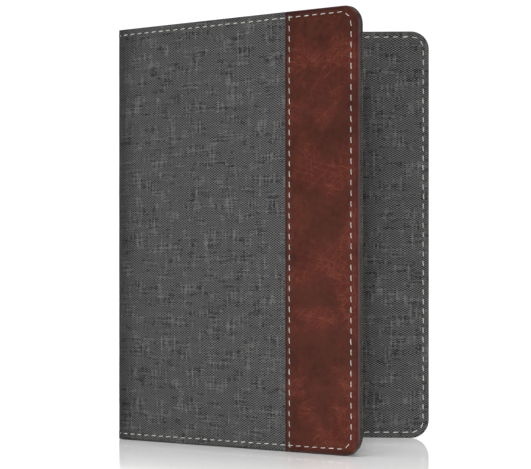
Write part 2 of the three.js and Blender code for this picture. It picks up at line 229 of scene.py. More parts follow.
holder_spine = spine_from(HOLDER_FOLD, spine_along)
screen_spine = spine_from(SCREEN_FOLD, -spine_along)
PATHS = {
    "holder_outer": SkinPath(HOLDER, holder_spine, inside=False),
    "holder_inner": SkinPath(HOLDER, holder_spine, inside=True),
    "screen_outer": SkinPath(SCREEN, screen_spine, inside=False),
    "screen_inner": SkinPath(SCREEN, screen_spine, inside=True),
}

# ------------------------------------------------------------------ seams


class EdgeSeam:
    """The sewn line round three edges of a cover, from the spine's middle and back to it."""

    def __init__(self, start_run, free_inset):
        self.radius = CORNER_RADIUS - SEAM_INSET
        self.start = start_run
        self.corner_run = LENGTH - free_inset - self.radius
        self.low, self.high = SEAM_INSET + self.radius, HEIGHT - SEAM_INSET - self.radius
        flat = self.corner_run - self.start
        arc = math.pi / 2 * self.radius
        self.lengths = [flat, arc, self.high - self.low, arc, flat]
        self.count = round(sum(self.lengths) / PITCH)
        self.pitch = sum(self.lengths) / self.count

    def at(self, length):
        """(run, z, heading) at a distance along the seam."""
        flat, arc, side = self.lengths[:3]
        if length < flat:
            return self.start + length, self.low - self.radius, 0.0
        length -= flat
        if length < arc:
            turn = length / self.radius
            run = self.corner_run + self.radius * math.sin(turn)
            return run, self.low - self.radius * math.cos(turn), turn
        length -= arc
        if length < side:
            return self.corner_run + self.radius, self.low + length, math.pi / 2
        length -= side
        if length < arc:
            turn = length / self.radius
            run = self.corner_run + self.radius * math.cos(turn)
            return run, self.high + self.radius * math.sin(turn), math.pi / 2 + turn
        return self.corner_run - (length - arc), self.high + self.radius, math.pi

    def stitches(self):
        return [self.at((k + 0.5) * self.pitch) for k in range(self.count)]

    def distance(self, run, z):
        """Signed distance from the seam, positive towards the cover's edge."""
        dx = run - self.corner_run
        dz = np.maximum(self.low - z, z - self.high)
        outside = np.hypot(np.maximum(dx, 0), np.maximum(dz, 0))
        inside = np.minimum(np.maximum(dx, dz), 0)
        return outside + inside - self.radius


class StraightSeam:
    """The sewn line that holds the leather strip's inner edge, from edge to edge."""

    END = 1.0 * MM

    def __init__(self, run):
        self.run = run
        self.count = round((HEIGHT - 2 * self.END) / PITCH)
        self.pitch = (HEIGHT - 2 * self.END) / self.count

    def stitches(self):
        return [(self.run, self.END + (k + 0.5) * self.pitch, math.pi / 2) for k in range(self.count)]

    def distance(self, run, z):
        return run - self.run


class Stitched:
    """How a set of seams presses into a skin: a shallow furrow, deepest at the needle holes."""

    def __init__(self, seams, furrow, hole, puff):
        self.seams, self.furrow, self.hole, self.puff = seams, furrow, hole, puff

    def depth(self, run, z):
        total = np.zeros_like(run)
        for seam in self.seams:
            away = seam.distance(run, z)
            total += self.furrow * np.exp(-((away / (1.1 * MM)) ** 2))
            bead = np.exp(-(((np.abs(away) - 2.1 * MM) / (0.9 * MM)) ** 2))
            total -= self.puff * bead
            total += self.holes(seam, run, z)
        return total

    def holes(self, seam, run, z):
        near = np.abs(seam.distance(run, z)) < 2.5 * MM
        dent = np.zeros_like(run)
        if not near.any():
            return dent
        half = STITCH_SHARE * seam.pitch / 2
        ends = []
        for at_run, at_z, heading in seam.stitches():
            for reach in (-half, half):
                ends.append((at_run + reach * math.cos(heading), at_z + reach * math.sin(heading)))
        ends = np.array(ends)
        here = np.column_stack([run[near], z[near]])
        best = np.full(len(here), 1.0)
        for part in np.array_split(np.arange(len(here)), max(1, len(here) // 2000)):
            gap = here[part, None, :] - ends[None, :, :]
            best[part] = np.sqrt((gap**2).sum(-1)).min(1)
        dent[near] = self.hole * np.exp(-((best / (0.8 * MM)) ** 2))
        return dent


# ------------------------------------------------------------------ meshes


def graded(low, high, coarse, marks=()):
    """Values from low to high about `coarse` apart, finer near each mark (centre, reach, fine)."""
    values = [low]
    while values[-1] < high:
        at = values[-1]
        step = coarse
        for centre, reach, fine in marks:
            away = max(0.0, abs(at - centre) - reach)
            step = min(step, fine + 0.35 * away)
        values.append(at + step)
    if high - values[-2] < 0.4 * (values[-1] - values[-2]):
        values.pop()
    values[-1] = high
    return np.array(values)


def make_object(name, verts, faces, uvs=None, material=None, smooth=True):
    mesh = bpy.data.meshes.new(name)
    mesh.from_pydata([tuple(map(float, v)) for v in verts], [], faces)
    if uvs is not None:
        layer = mesh.uv_layers.new(name="UVMap")
        loops = np.empty(len(mesh.loops), int)
        mesh.loops.foreach_get("vertex_index", loops)
        layer.data.foreach_set("uv", np.asarray(uvs, np.float32)[loops].ravel())
    if material:
        mesh.materials.append(material)
    mesh.validate()
    for polygon in mesh.polygons:
        polygon.use_smooth = smooth
    made = bpy.data.objects.new(name, mesh)
    bpy.context.scene.collection.objects.link(made)
    return made


def face_outwards(made):
    solid = bmesh.new()
    solid.from_mesh(made.data)
    bmesh.ops.recalc_face_normals(solid, faces=solid.faces[:])
    solid.to_mesh(made.data)
    solid.free()


def thicken(made, thickness):
    """Turns an open sheet into a closed shell, with its new layer on the inside."""
    sheet = bmesh.new()
    sheet.from_mesh(made.data)
    sheet.normal_update()
    uv = sheet.loops.layers.uv.active
    outer_faces, border = sheet.faces[:], [edge for edge in sheet.edges if edge.is_boundary]
    under = {vert: sheet.verts.new(vert.co - vert.normal * thickness) for vert in sheet.verts[:]}
    for face in outer_faces:
        copy = sheet.faces.new([under[vert] for vert in reversed(face.verts)])
        copy.smooth = True
        for loop, source in zip(copy.loops, reversed(face.loops)):
            loop[uv].uv = source[uv].uv
    for edge in border:
        loop = edge.link_loops[0]
        first, second = loop.vert, loop.link_loop_next.vert
        side = sheet.faces.new((second, first, under[first], under[second]))
        ends = (loop.link_loop_next[uv].uv, loop[uv].uv, loop[uv].uv, loop.link_loop_next[uv].uv)
        for corner, place in zip(side.loops, ends):
            corner[uv].uv = place
        edge.smooth = False
    sheet.to_mesh(made.data)
    sheet.free()


def warp_corner(run, z, edge, centre_run, top_z):
    """Bends a square patch of grid into a quarter disc at each of a cover's free corners."""
    run, z = run.copy(), z.copy()
    reach = LENGTH - edge - centre_run
    for sign, corner_z in ((1, top_z), (-1, HEIGHT - top_z)):
        a = (run - centre_run) / reach
        b = sign * (z - corner_z) / reach
        zone = (a > 0) & (b > 0)
        a, b = np.clip(a, 0, 1), np.clip(b, 0, 1)
        bent_a = a * np.sqrt(1 - b * b / 2)
        bent_b = b * np.sqrt(1 - a * a / 2)
        run = np.where(zone, centre_run + bent_a * reach, run)
        z = np.where(zone, corner_z + sign * bent_b * reach, z)
    return run, z


class Skin:
    """One sheet of cloth or leather over a cover: its flat layout, wrapped along a plan curve."""

    def __init__(self, path, columns, rows, edge_round, edge_depth, depth_of, rounded=True):
        self.path, self.edge, self.drop = path, edge_round[0], edge_round[1]
        self.edge_depth, self.depth_of = edge_depth, depth_of
        self.centre_run = LENGTH - CORNER_RADIUS
        self.top_z = HEIGHT - CORNER_RADIUS
        run, z = np.meshgrid(columns, rows, indexing="ij")
        if rounded:
            run, z = warp_corner(run, z, self.edge, self.centre_run, self.top_z)
        self.shape = run.shape
        self.run, self.z = run.ravel(), z.ravel()
        self.depth = depth_of(self.run, self.z)
        self.faces = []
        self.grid_faces()
        index = np.arange(run.size).reshape(self.shape)
        if rounded:
            self.add_rim(np.concatenate([index[:, 0], index[-1, 1:], index[-2::-1, -1]]))
        else:
            self.add_rim(index[:, 0])
            self.add_rim(index[::-1, -1])

    def grid_faces(self):
        wide, tall = self.shape
        index = np.arange(wide * tall).reshape(wide, tall)
        corners = (index[:-1, :-1], index[1:, :-1], index[1:, 1:], index[:-1, 1:])
        self.faces += np.stack([c.ravel() for c in corners], axis=1).tolist()

    def outward(self, ring):
        """The direction out of the sheet at its boundary, as (run, z)."""
        run, z = self.run[ring], self.z[ring]
        a = np.maximum(run - self.centre_run, 0)
        b = np.where(z > HEIGHT / 2, z - self.top_z, z - (HEIGHT - self.top_z))
        low_side, high_side = z < HEIGHT - self.top_z, z > self.top_z
        b = np.where(low_side | high_side, b, 0)
        on_side = (a > 0) & ~(low_side | high_side)
        flat_edge = a <= 0
        out = np.stack([a, b], axis=1)
        out[on_side] = (1, 0)
        out[flat_edge] = np.stack([np.zeros(flat_edge.sum()), np.sign(z[flat_edge] - HEIGHT / 2)], axis=1)
        return out / np.linalg.norm(out, axis=1)[:, None]

    def add_rim(self, ring):
        """Rolls the sheet over the edge of the board and tucks its end under."""
        out = self.outward(ring)
        turns = np.linspace(0, math.pi / 2, 7)[1:]
        profile = [(self.edge * math.sin(t), self.drop * (1 - math.cos(t))) for t in turns]
        profile.append((self.edge, self.edge_depth - 0.12 * MM))
        profile.append((self.edge - 0.06 * MM, self.edge_depth))
        previous, base, room = ring, self.depth[ring], self.path.room(self.run[ring])
        for reach, drop in profile:
            start = len(self.run)
            keep = 1 - drop / self.edge_depth
            self.run = np.concatenate([self.run, self.run[ring] + out[:, 0] * reach])
            self.z = np.concatenate([self.z, self.z[ring] + out[:, 1] * reach])
            self.depth = np.concatenate([self.depth, base * keep + drop * room])
            new = np.arange(start, start + len(ring))
            pairs = zip(previous[:-1], previous[1:], new[1:], new[:-1])
            self.faces += [[int(b), int(a), int(d), int(c)] for a, b, c, d in pairs]
            previous = new

    def build(self, name, material, uv_flip=None):
        verts = self.path.place(self.run, self.z, self.depth)
        along = uv_flip - self.run if uv_flip is not None else self.run
        # the turned edge is drawn down by its depth, so that the weave carries on round it
        uvs = np.column_stack([along + 0.7 * self.depth, self.z + 0.7 * self.depth]) / UV_UNIT
        made = make_object(name, verts, self.faces, uvs, material)
        cover = self.path.cover
        outward = -self.path.into
        along3 = np.append(cover.along, 0)
        if np.cross(along3, [0, 0, 1])[:2] @ outward < 0:
            made.data.flip_normals()
        thicken(made, SKIN)
        return made


# ------------------------------------------------------------------ material nodes


class Graph:
    """A material's nodes, made by short calls: a socket given as a value becomes a link."""

    def __init__(self, name):
        self.material = bpy.data.materials.new(name)
        self.material.use_nodes = True
        self.tree = self.material.node_tree
        self.shader = self.tree.nodes["Principled BSDF"]

    def feed(self, socket, value):
        if isinstance(value, bpy.types.NodeSocket):
            self.tree.links.new(value, socket)
        elif isinstance(value, (tuple, list)) and len(value) == 3 and socket.type == "RGBA":
            socket.default_value = (*value, 1)
        else:
            socket.default_value = value

    def node(self, kind, inputs=None, **settings):
        made = self.tree.nodes.new(kind)
        for key, value in settings.items():
            setattr(made, key, value)
        for key, value in (inputs or {}).items():
            self.feed(made.inputs[key], value)
        return made

    def math(self, operation, *values, clamp=False):
        made = self.node("ShaderNodeMath", dict(enumerate(values)), operation=operation, use_clamp=clamp)
        return made.outputs[0]

    def add(self, a, b):
        return self.math("ADD", a, b)

    def times(self, a, b):
        return self.math("MULTIPLY", a, b)

    def minus(self, a, b):
        return self.math("SUBTRACT", a, b)

    def swing(self, value, share):
        """How far a value from 0 to 1 is from its middle, times `share`."""
        return self.times(self.minus(value, 0.5), share)

    def grey(self, level):
        return self.node("ShaderNodeCombineColor", {0: level, 1: level, 2: level}).outputs[0]

    def drawn_out(self, where, scale):
        """The place `where`, scaled on each axis, so that a pattern over it is stretched."""
        return self.node("ShaderNodeMapping", {"Vector": where, "Scale": scale}).outputs[0]

    def scaled(self, value, low, high, to_low=0.0, to_high=1.0):
        """Remaps low..high to to_low..to_high, and holds the ends."""
        inputs = {"Value": value, "From Min": low, "From Max": high, "To Min": to_low, "To Max": to_high}
        return self.node("ShaderNodeMapRange", inputs, interpolation_type="SMOOTHSTEP").outputs[0]

    def vector(self, x=0.0, y=0.0, z=0.0):
        return self.node("ShaderNodeCombineXYZ", {"X": x, "Y": y, "Z": z}).outputs[0]

    def noise(self, where, scale, detail=2.0, roughness=0.5, dimensions="3D"):
        inputs = {"Vector": where, "Scale": scale, "Detail": detail, "Roughness": roughness}
        return self.node("ShaderNodeTexNoise", inputs, noise_dimensions=dimensions).outputs[0]

    def cells(self, where, scale, feature="F1"):
        inputs = {"Vector": where, "Scale": scale}
        return self.node("ShaderNodeTexVoronoi", inputs, feature=feature).outputs["Distance"]

    def mix(self, factor, a, b, blend="MIX"):
        made = self.node("ShaderNodeMix", data_type="RGBA", blend_type=blend)
        self.feed(made.inputs[0], factor)
        self.feed(made.inputs[6], a)
        self.feed(made.inputs[7], b)
        return made.outputs[2]

    def bump(self, height, distance, strength=1.0, normal=None):
        inputs = {"Height": height, "Distance": distance, "Strength": strength}
        if normal is not None:
            inputs["Normal"] = normal
        return self.node("ShaderNodeBump", inputs).outputs[0]

    def cloth_position(self):
        """(run, z) on the cloth in metres, as two sockets."""
        uv = self.node("ShaderNodeUVMap", uv_map="UVMap").outputs[0]
        split = self.node("ShaderNodeSeparateXYZ", {0: uv})
        return self.times(split.outputs[0], UV_UNIT), self.times(split.outputs[1], UV_UNIT)

    def position(self):
        return self.node("ShaderNodeTexCoord").outputs["Object"]

    def vectors(self, operation, *values, output=0, **named):
        inputs = {**dict(enumerate(values)), **named}
        return self.node("ShaderNodeVectorMath", inputs, operation=operation).outputs[output]

    def done(self, colour, roughness, normal, **fixed):
        self.feed(self.shader.inputs["Base Color"], colour)
        self.feed(self.shader.inputs["Roughness"], roughness)
        self.feed(self.shader.inputs["Normal"], normal)
        for name, value in fixed.items():
            self.feed(self.shader.inputs[name.replace("_", " ")], value)
        return self.material


SPINE_MIDDLE_RUN = PATHS["holder_outer"].spine_run
FOLD_SHADE = 0.42  # painted shade: the cloth is painted darker where it is drawn round the folds
EDGE_SHADE = 0.6  # and painted shade where it turns over an edge
WEAVE_CONTRAST = 1.35  # how much paler the weft is than the warp
DARKEST_SLUB = -0.16
YARN_SWAY = 0.35  # how far a yarn wanders, in pitches
WARP_PITCH = 1.2 * MM
WEFT_PITCH = 0.69 * MM
YARN_DARK = (0.005, 0.005, 0.0052)
YARN_PALE = (0.082, 0.082, 0.081)

LEATHER_DARK = (0.0225, 0.0045, 0.0022)
LEATHER_LIGHT = (0.0505, 0.0122, 0.0064)
LEATHER_RED = (0.070, 0.0100, 0.0055)
LEATHER_CREASE = (0.140, 0.0400, 0.0240)
LEATHER_EDGE_BAND_DARK = (0.012, 0.004, 0.004)
# painted highlight on the leather's rolled edges
LEATHER_EDGE_HIGHLIGHT = (0.115, 0.062, 0.056)
# painted shade along the strip's inner edge, where it steps down to the cloth
LEATHER_INNER_EDGE_SHADE = (0.010, 0.004, 0.0035)
CREASE_RUNS = ((14, 0.13, 240), (-38, 0.16, 190), (82, 0.2, 240))  # degrees, stretch and scale


def beyond_edge(g, run, z):
    """How far a point of the cloth is past a cover's edges: below zero on the face, above on the turning."""
    past_side = g.minus(g.math("ABSOLUTE", g.minus(z, HEIGHT / 2)), HEIGHT / 2)
    return g.math("MAXIMUM", g.minus(run, LENGTH), past_side)


def woven_cloth():
    """A plain weave of dark warp and pale weft: crowns where a yarn comes over, and slubs along it, with
    painted shade between the yarns, round the folds and over the turned edges.
    """
    g = Graph("charcoal_slub_weave")
    run, z = g.cloth_position()
    flat = g.vector(run, z)
    sway = g.swing(g.noise(flat, 14, 1, dimensions="2D"), YARN_SWAY)
    lean = g.swing(g.noise(g.vector(z, run), 12, 1, dimensions="2D"), YARN_SWAY)
    p = g.add(g.times(run, 1 / WARP_PITCH), sway)
    q = g.add(g.times(z, 1 / WEFT_PITCH), lean)
    warp_index, weft_index = g.math("FLOOR", p), g.math("FLOOR", q)
    wave = g.times(g.math("SINE", g.times(p, math.pi)), g.math("SINE", g.times(q, math.pi)))
    crown = g.math("POWER", g.math("ABSOLUTE", wave), 0.5)
    weft_up = g.scaled(wave, 0.1, -0.1)
    warp_yarn = g.noise(g.vector(g.times(warp_index, 4.71), g.times(q, 0.042)), 1, 1, 0.5, "2D")
    weft_yarn = g.noise(g.vector(g.times(p, 0.055), g.times(weft_index, 3.37)), 1, 1, 0.5, "2D")
    fleck = g.node("ShaderNodeTexWhiteNoise", {"Vector": g.vector(warp_index, weft_index)},
                   noise_dimensions="2D").outputs[0]
    fibre = g.noise(g.vector(g.times(p, 3.1), g.times(q, 3.3)), 1, 2, 0.6, "2D")
    cloud = g.noise(flat, 75, 3, 0.6, "2D")
    weft_tone = g.math("MAXIMUM", g.swing(weft_yarn, 2.4), DARKEST_SLUB)
    warp_tone = g.math("MAXIMUM", g.swing(warp_yarn, 1.6), DARKEST_SLUB)
    shown = g.add(g.times(weft_tone, weft_up), g.times(warp_tone, g.minus(1.0, weft_up)))
    tone = g.add(shown, g.times(g.add(weft_tone, warp_tone), 0.45))
    patches = g.noise(g.drawn_out(flat, (0.7, 1.3, 1)), 120, 2, 0.5, "2D")
    crisp = g.scaled(patches, 0.38, 0.62, 0.4, 1.5)
    tone = g.add(tone, g.times(g.swing(weft_up, WEAVE_CONTRAST), crisp))
    tone = g.add(tone, g.swing(fleck, 0.5))
    tone = g.add(tone, g.swing(fibre, 0.4))
    tone = g.add(tone, g.swing(cloud, 0.2))
    # painted shade: the yarns are lighter on their crowns and darker between them
    tone = g.add(tone, g.times(g.minus(crown, 0.6), 0.5))
    colour = g.mix(g.math("ADD", tone, 0.46, clamp=True), YARN_DARK, YARN_PALE)
    # painted shade: darker towards the spine's middle, and over the turned edges
    from_spine = g.math("ABSOLUTE", g.minus(run, SPINE_MIDDLE_RUN))
    painted_fold_shade = g.scaled(from_spine, 7 * MM, 28 * MM, FOLD_SHADE, 1.0)
    shade = g.times(painted_fold_shade, g.scaled(beyond_edge(g, run, z), -1.1 * MM, 0.0, 1.0, EDGE_SHADE))
    colour = g.mix(1.0, colour, g.grey(shade), "MULTIPLY")
    height = g.add(crown, g.times(tone, 0.25))
    normal = g.bump(height, 0.2 * MM, 0.6)
    roughness = g.scaled(tone, -0.5, 0.6, 0.95, 0.82)
    return g.done(colour, roughness, normal, Sheen_Weight=0.03, Sheen_Roughness=0.45, Specular_IOR_Level=0.12)


def distressed_leather():
    """Oiled brown leather: cloudy colour, red pull-up patches, creases, fine grain, a darker band inside the
    edges, a painted highlight on the rolled edges and painted shade along the strip's inner edge.
    """
    g = Graph("distressed_leather")
    run, z = g.cloth_position()
    flat = g.vector(run, z)
    cloud = g.noise(flat, 48, 4, 0.6, "2D")
    blotch = g.noise(flat, 260, 4, 0.62, "2D")
    pores = g.noise(flat, 2600, 2, 0.6, "2D")
    grain = g.scaled(g.cells(flat, 1500, "DISTANCE_TO_EDGE"), 0.0, 0.22)
    patch = g.scaled(g.noise(flat, 42, 3, 0.55, "2D"), 0.40, 0.66)
    creases = []
    for angle, stretch, scale in CREASE_RUNS:
        turned = g.node("ShaderNodeMapping", {"Vector": flat, "Rotation": (0, 0, math.radians(angle))})
        wave = g.noise(g.drawn_out(turned.outputs[0], (stretch, 1, 1)), scale, 2, 0.55, "2D")
        ridge = g.math("ABSOLUTE", g.minus(wave, 0.5))
        creases.append(g.scaled(ridge, 0.0, 0.03, 1.0, 0.0))
    crease = g.math("MAXIMUM", creases[0], g.math("MAXIMUM", creases[1], g.times(creases[2], 0.8)))
    crease = g.times(crease, g.add(0.1, g.times(patch, 0.9)))
    tone = g.add(g.swing(cloud, 1.2), g.swing(blotch, 1.1))
    tone = g.add(tone, g.swing(pores, 0.3))
    colour = g.mix(g.math("ADD", tone, 0.5, clamp=True), LEATHER_DARK, LEATHER_LIGHT)
    colour = g.mix(g.times(patch, 0.35), colour, LEATHER_RED)
    colour = g.mix(g.times(crease, 0.32), colour, LEATHER_CREASE)
    past_edge = beyond_edge(g, run, z)
    # darker in a band just inside the edges
    darker_edge_band = g.times(g.scaled(past_edge, -3.2 * MM, -1.2 * MM), 0.6)
    colour = g.mix(darker_edge_band, colour, LEATHER_EDGE_BAND_DARK)
    # painted highlight along the rolled edges, patchy with the cloud
    painted_edge_highlight = g.times(g.scaled(past_edge, -0.9 * MM, 0.1 * MM), g.scaled(cloud, 0.3, 0.55, 0.55, 1.0))
    colour = g.mix(g.times(painted_edge_highlight, 0.27), colour, LEATHER_EDGE_HIGHLIGHT)
    # painted shade along the strip's inner edge, where it steps down to the cloth
    painted_inner_edge_shade = g.scaled(run, STRIP_START + 0.4 * MM, STRIP_START + 1.9 * MM, 0.85, 0.0)
    colour = g.mix(painted_inner_edge_shade, colour, LEATHER_INNER_EDGE_SHADE)
    height = g.add(g.times(grain, 0.4), g.add(g.times(pores, 0.25), g.times(blotch, 0.8)))
    height = g.minus(height, g.times(crease, 0.5))
    normal = g.bump(height, 0.12 * MM, 0.55)
    roughness = g.scaled(g.add(g.times(blotch, 0.6), g.times(pores, 0.4)), 0.3, 0.7, 0.42, 0.62)
    return g.done(colour, roughness, normal, Specular_IOR_Level=0.14)


def sewing_thread():
    """Waxed polyester thread, cream, with the fibres of its plies showing."""
    g = Graph("sewing_thread")
    place = g.position()
    fibre = g.noise(place, 5200, 3, 0.6)
    soil = g.noise(place, 120, 3, 0.6)
    tone = g.add(g.times(fibre, 0.6), g.times(soil, 0.4))
    colour = g.mix(g.scaled(tone, 0.32, 0.68), (0.19, 0.18, 0.165), (0.42, 0.395, 0.37))
    normal = g.bump(fibre, 0.06 * MM, 0.6)
    return g.done(colour, g.scaled(fibre, 0.3, 0.7, 0.5, 0.7), normal, Sheen_Weight=0.15)


def moulded_plastic():
    """Matte black polycarbonate with a fine spark-eroded grain and faint handling marks."""
    g = Graph("moulded_plastic")
    place = g.position()
    grain = g.noise(place, 3600, 3, 0.65)
    haze = g.noise(place, 42, 4, 0.6)
    tone = g.add(g.times(grain, 0.5), g.times(haze, 0.5))
    colour = g.mix(g.scaled(tone, 0.3, 0.7), (0.0105, 0.0105, 0.0115), (0.024, 0.0235, 0.024))
    normal = g.bump(grain, 0.05 * MM, 0.5)
    return g.done(colour, g.scaled(haze, 0.3, 0.7, 0.4, 0.56), normal, Specular_IOR_Level=0.45)


def microfibre():
    """Short-napped charcoal microfibre: soft brushed clouds over a fuzz of fibres."""
    g = Graph("microfibre")
    place = g.position()
    brushed = g.noise(g.drawn_out(place, (1, 1, 0.35)), 60, 5, 0.65)
    fuzz = g.noise(place, 1700, 4, 0.75)
    tone = g.add(g.times(brushed, 0.3), g.times(fuzz, 0.7))
    colour = g.mix(g.scaled(tone, 0.36, 0.64), (0.012, 0.012, 0.0135), (0.046, 0.046, 0.048))
    normal = g.bump(fuzz, 0.18 * MM, 0.8)
    return g.done(colour, g.scaled(fuzz, 0.3, 0.7, 0.86, 0.97), normal, Sheen_Weight=0.2, Sheen_Roughness=0.4,
                  Specular_IOR_Level=0.2)


def greyboard():
    """Recycled grey bookbinding board, with pale and dark pulp fibres."""
    g = Graph("greyboard")
    place = g.position()
    fibres = g.noise(g.drawn_out(place, (1, 1, 3)), 900, 4, 0.7)
    pulp = g.noise(place, 150, 4, 0.6)
    tone = g.add(g.times(fibres, 0.6), g.times(pulp, 0.4))
    colour = g.mix(g.scaled(tone, 0.3, 0.7), (0.16, 0.15, 0.135), (0.34, 0.325, 0.30))
    normal = g.bump(fibres, 0.1 * MM, 0.6)
    return g.done(colour, g.scaled(pulp, 0.3, 0.7, 0.85, 0.95), normal)


def foam_tape():
    """Double-sided foam tape: closed cells under a slightly shiny film."""
    g = Graph("foam_tape")
    place = g.position()
    bubbles = g.cells(place, 2400)
    haze = g.noise(place, 90, 3, 0.6)
    colour = g.mix(g.scaled(g.add(bubbles, haze), 0.4, 1.2), (0.40, 0.40, 0.385), (0.62, 0.62, 0.60))
    normal = g.bump(bubbles, 0.08 * MM, 0.5)
    return g.done(colour, g.scaled(haze, 0.3, 0.7, 0.5, 0.7), normal)


def nickel_plate():
    """Nickel-plated magnet: bright, with fine tumbling marks."""
    g = Graph("nickel_plate")
    place = g.position()
    marks = g.noise(place, 1800, 4, 0.7)
    haze = g.noise(place, 160, 3, 0.5)
    colour = g.mix(g.scaled(haze, 0.3, 0.7), (0.48, 0.47, 0.44), (0.66, 0.645, 0.61))
    normal = g.bump(marks, 0.02 * MM, 0.4)
    return g.done(colour, g.scaled(marks, 0.3, 0.7, 0.2, 0.38), normal, Metallic=1.0)


FABRIC = woven_cloth()
LEATHER = distressed_leather()
THREAD = sewing_thread()
PLASTIC = moulded_plastic()
NAP = microfibre()
BOARD = greyboard()
TAPE = foam_tape()
NICKEL = nickel_plate()

# ------------------------------------------------------------------ cloth skins

SEAM_FREE_INSETS = {
    "holder_outer": HOLDER_SEAM_FREE_INSET, "holder_inner": HOLDER_SEAM_FREE_INSET,
    "screen_outer": SCREEN_SEAM_FREE_INSET, "screen_inner": SCREEN_SEAM_FREE_INSET,
}
SLACK_SEEDS = {"holder_outer": 3, "leather": 4, "screen_outer": 5, "holder_inner": 6, "screen_inner": 8}

seams = {face: EdgeSeam(PATHS[face].spine_run, inset) for face, inset in SEAM_FREE_INSETS.items()}
strip_seam = StraightSeam(STRIP_START + STRIP_SEAM_INSET)
CLOTH_PRESS = {"furrow": 0.13 * MM, "hole": 0.16 * MM, "puff": 0.05 * MM}
LEATHER_PRESS = {"furrow": 0.12 * MM, "hole": 0.15 * MM, "puff": 0.04 * MM}
press = {face: Stitched([seam], **CLOTH_PRESS) for face, seam in seams.items()}
leather_press = Stitched([seams["holder_outer"], strip_seam], **LEATHER_PRESS)

COARSE = 1.49 * MM
FINE = 0.45 * MM


def slack(run, z, face):
    """The cloth's small unevenness over its board: a few long shallow waves."""
    waves = np.zeros_like(run)
    local = np.random.default_rng(SLACK_SEEDS[face])
    for _ in range(7):
        heading = local.uniform(0, math.pi)
        length = local.uniform(22, 70) * MM
        phase = local.uniform(0, 2 * math.pi)
        along = run * math.cos(heading) + z * math.sin(heading)
        waves += 0.011 * MM * np.sin(2 * math.pi * along / length + phase)
    return waves


def rows_for(edge):
    marks = [(0, 5.6 * MM, FINE), (HEIGHT, 5.6 * MM, FINE)]
    return graded(edge, HEIGHT - edge, COARSE, marks)


def fold_mark(path):
    middle = (COVER_START + path.runs[path.FOLD_STEPS]) / 2
    return (middle, 5.0 * MM, 0.55 * MM)


TUCK_REACH = 2.2 * MM  # how far the holder's fabric runs in under the leather
TUCK_DEPTH = 0.42 * MM


def fold_sink(run):
    """The cloth starts to turn a little before the board ends."""
    start, sink = 15 * MM, 0.34 * MM
    return sink * np.clip((start - run) / (start - COVER_START), 0, 1) ** 2


def cloth_depth(face):
    """How deep the cloth lies under a face: pressed by its seam, slack, and sunk or tucked at its ends."""

    def depth(run, z):
        total = press[face].depth(run, z) + slack(run, z, face)
        if face == "holder_outer":
            total = total + TUCK_DEPTH * smooth_step(STRIP_START - 1.8 * MM, STRIP_START - 0.05 * MM, run)
        if not PATHS[face].inside:
            total = total + fold_sink(run)
        return total

    return depth


def leather_depth(run, z):
    rolled = (STRIP_START + 0.9 * MM - run) / (0.9 * MM)
    edge = (STRIP_PROUD + 0.12 * MM) * (1 - np.sqrt(np.clip(1 - np.clip(rolled, 0, 1) ** 2, 0, 1)))
    swell = 0.07 * MM * np.exp(-(((run - STRIP_START - 1.4 * MM) / (0.8 * MM)) ** 2))
    return leather_press.depth(run, z) + slack(run, z, "leather") - STRIP_PROUD + edge - swell


def make_cloth(name, face, last_run, mark):
    """One cloth skin, from the middle of the spine to last_run along a cover."""
    path = PATHS[face]
    if path.inside:
        edge_round, edge_depth = LINING_ROUND, 2 * COVER_HALF - LINING_EDGE
    else:
        edge_round, edge_depth = OUTER_ROUND, TURN_IN
    columns = graded(path.spine_run, last_run, COARSE, [fold_mark(path), mark])
    rounded = last_run > LENGTH - CORNER_RADIUS
    skin = Skin(path, columns, rows_for(edge_round[0]), edge_round, edge_depth, cloth_depth(face), rounded)
    # the weave carries on from the holder's side of the spine's middle into the screen's
    carried_on = PATHS[face.replace("screen", "holder")].spine_run + path.spine_run
    return skin.build(name, FABRIC, carried_on if face.startswith("screen") else None)


free_edge_mark = (LENGTH, 7.0 * MM, FINE)
strip_edge_mark = (STRIP_START, 2.5 * MM, 0.3 * MM)
outer_end, lining_end = LENGTH - OUTER_ROUND[0], LENGTH - LINING_ROUND[0]

holder_fabric = make_cloth("holder_fabric_woven", "holder_outer", STRIP_START + TUCK_REACH, strip_edge_mark)
screen_fabric = make_cloth("screen_fabric_woven", "screen_outer", outer_end, free_edge_mark)
holder_lining = make_cloth("holder_lining_woven", "holder_inner", lining_end, free_edge_mark)
screen_lining = make_cloth("screen_lining_woven", "screen_inner", lining_end, free_edge_mark)


def make_leather():
    columns = graded(STRIP_START, LENGTH - OUTER_ROUND[0], 0.8 * MM,
                     [(STRIP_START, 4.5 * MM, 0.15 * MM), free_edge_mark])
    rows = graded(OUTER_ROUND[0], HEIGHT - OUTER_ROUND[0], 0.9 * MM,
                  [(0, 5.6 * MM, FINE), (HEIGHT, 5.6 * MM, FINE)])
    skin = Skin(PATHS["holder_outer"], columns, rows, OUTER_ROUND, TURN_IN, leather_depth)
    return skin.build("leather_strip_hide", LEATHER)


leather_strip = make_leather()

# ------------------------------------------------------------------ thread


def ply_outline(sides, twist):
    """A two-ply section: a round that is pinched where the plies meet, turned by `twist`."""
    angles = np.arange(sides) * 2 * math.pi / sides
    reach = 0.78 + 0.22 * np.abs(np.cos(angles - twist))
    return np.stack([np.cos(angles), np.sin(angles)], axis=1) * reach[:, None]


